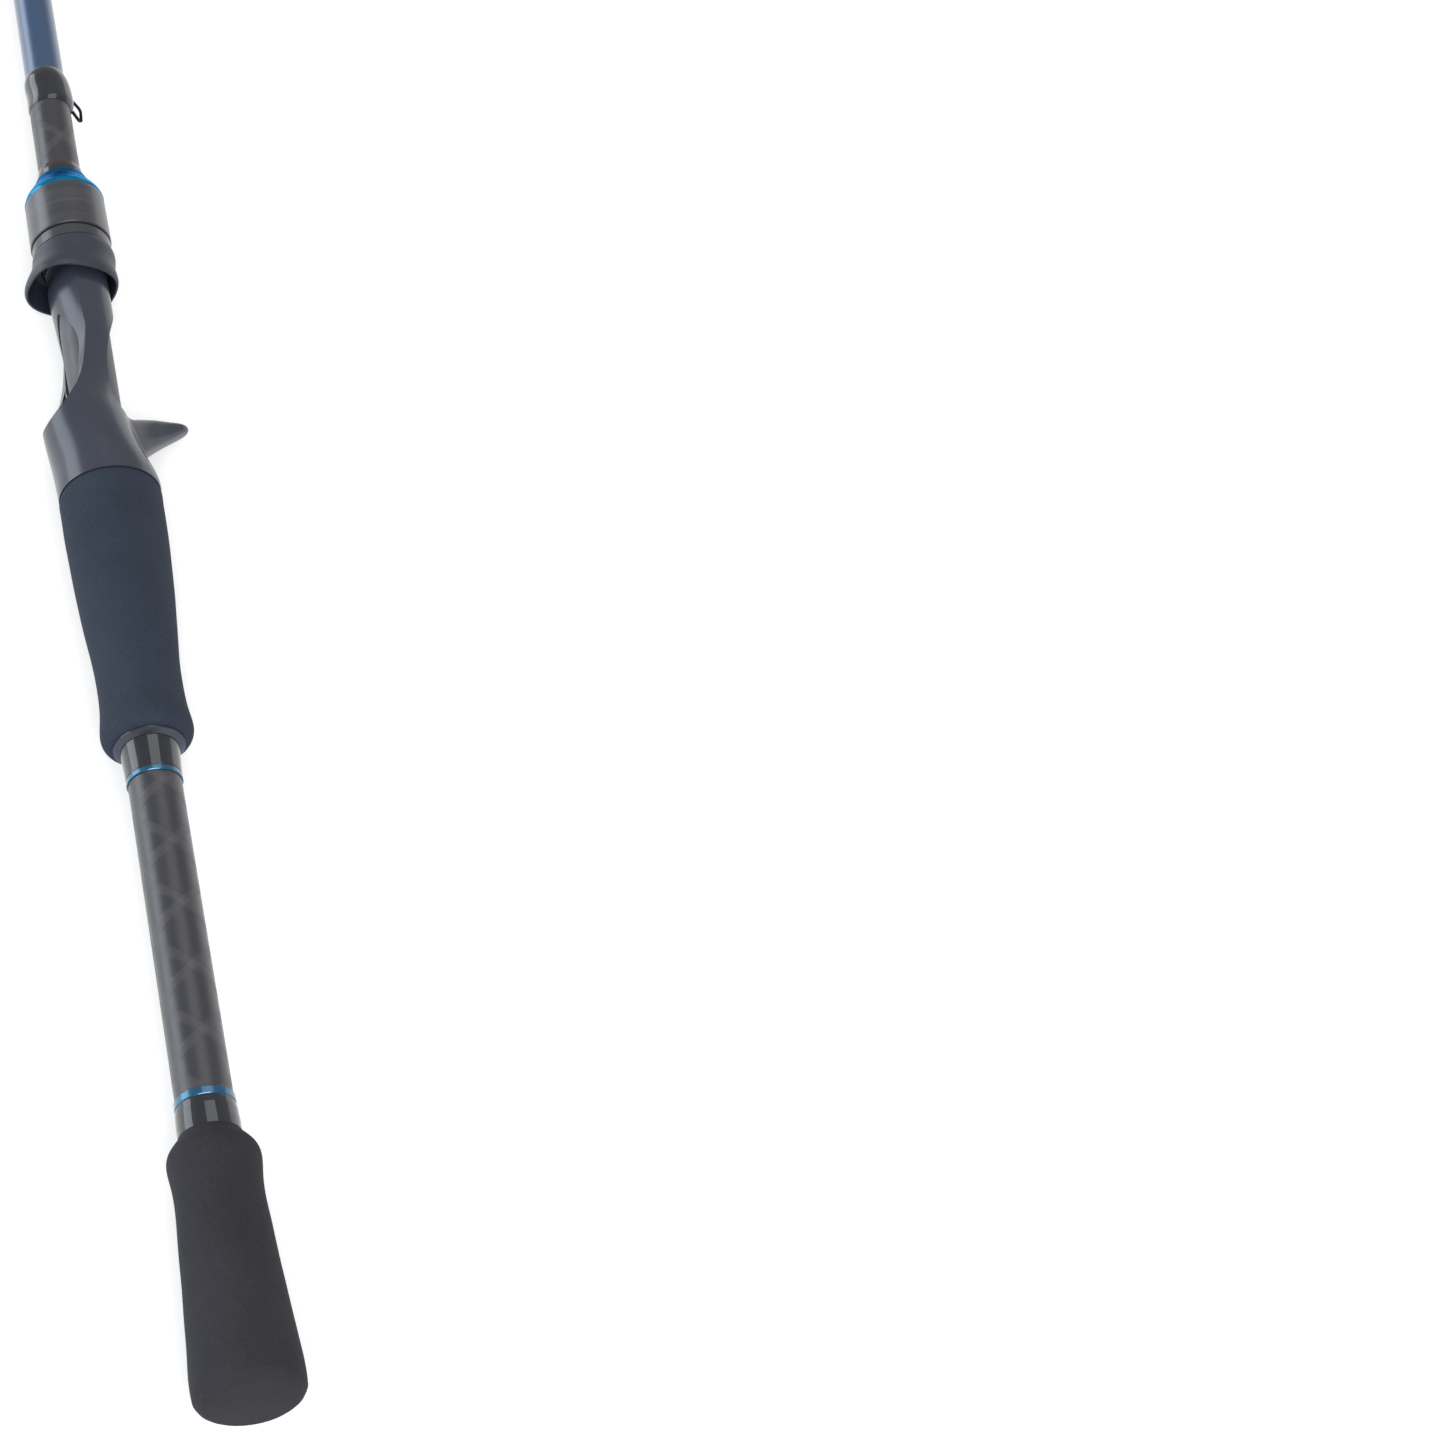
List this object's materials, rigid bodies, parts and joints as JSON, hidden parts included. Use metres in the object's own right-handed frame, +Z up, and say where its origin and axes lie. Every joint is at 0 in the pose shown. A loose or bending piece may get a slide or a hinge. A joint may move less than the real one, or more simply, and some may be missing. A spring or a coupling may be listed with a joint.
{
  "type": "casting fishing rod",
  "caption": "Trigger-grip casting rod with a split foam handle, screw-down reel seat, hook keeper, line guides and ringed tip.",
  "frame": {"origin": "centre of the flat butt face, on the rod's axis", "axes": "+Y along the rod from the butt to the tip; +Z up from the surface the rod lies on; the trigger leans down on the +X side and the guides stand up on the -X side"},
  "size_m": [0.0401, 1.8291, 0.0252],
  "materials": {
    "black_wire": "black plated stainless",
    "blue_blank": "gloss blue lacquer over carbon",
    "blue_metal": "anodised bright blue",
    "carbon": "satin dark carbon with crossed tape",
    "check": "black anodised",
    "core": "satin dark carbon core",
    "epoxy": "gloss black thread and epoxy",
    "eva": "matte closed-cell foam, near black",
    "insert": "matte black nylon",
    "nut_carbon": "satin dark carbon fibre sleeve",
    "red_trim": "gloss dark red thread",
    "ring": "polished dark ceramic",
    "seat": "satin dark grey reinforced nylon"
  },
  "bodies": {
    "rod": {"blank": "blue_blank", "butt_grip": "eva", "carbon_tape": "carbon", "collar_trim": "red_trim", "collar_wrap": "epoxy", "fore_grip": "eva", "guide_2_frame": "black_wire", "guide_2_front_wrap": "epoxy", "guide_2_ring": "ring", "guide_3_frame": "black_wire", "guide_3_front_wrap": "epoxy", "guide_3_ring": "ring", "guide_4_frame": "black_wire", "guide_4_front_wrap": "epoxy", "guide_4_ring": "ring", "guide_5_frame": "black_wire", "guide_5_front_wrap": "epoxy", "guide_5_ring": "ring", "guide_6_frame": "black_wire", "guide_6_front_wrap": "epoxy", "guide_6_ring": "ring", "guide_7_frame": "black_wire", "guide_7_front_wrap": "epoxy", "guide_7_ring": "ring", "keeper_wire": "black_wire", "keeper_wrap": "epoxy", "lower_band": "blue_metal", "lower_wrap": "epoxy", "reel_seat": "seat", "seat_core": "core", "stripper_frame": "black_wire", "stripper_front_wrap": "epoxy", "stripper_rear_wrap": "epoxy", "stripper_ring": "ring", "tip_frame": "black_wire", "tip_ring": "ring", "tip_wrap": "epoxy", "upper_band": "blue_metal", "upper_wrap": "epoxy", "winding_check": "check"},
    "hood": {"hood": "seat", "spacer_ring": "insert"},
    "nut": {"nut_thread_insert": "insert", "nut_sleeve": "nut_carbon", "trim_ring": "blue_metal", "trim_cone": "blue_metal"}
  },
  "joints": [
    {"name": "hood_slide", "type": "slide", "parent": "rod", "child": "hood", "axis": [0, 1, 0], "range_m": [0, 0.012]},
    {"name": "nut_turn", "type": "hinge", "parent": "hood", "child": "nut", "pos_m": [0, 0.335, 0], "axis": [0, 1, 0], "range_deg": [0, 2160]}
  ],
  "couplings": [
    {"joint": "hood_slide", "follows": "nut_turn", "m_per_rad": 0.00031831}
  ]
}
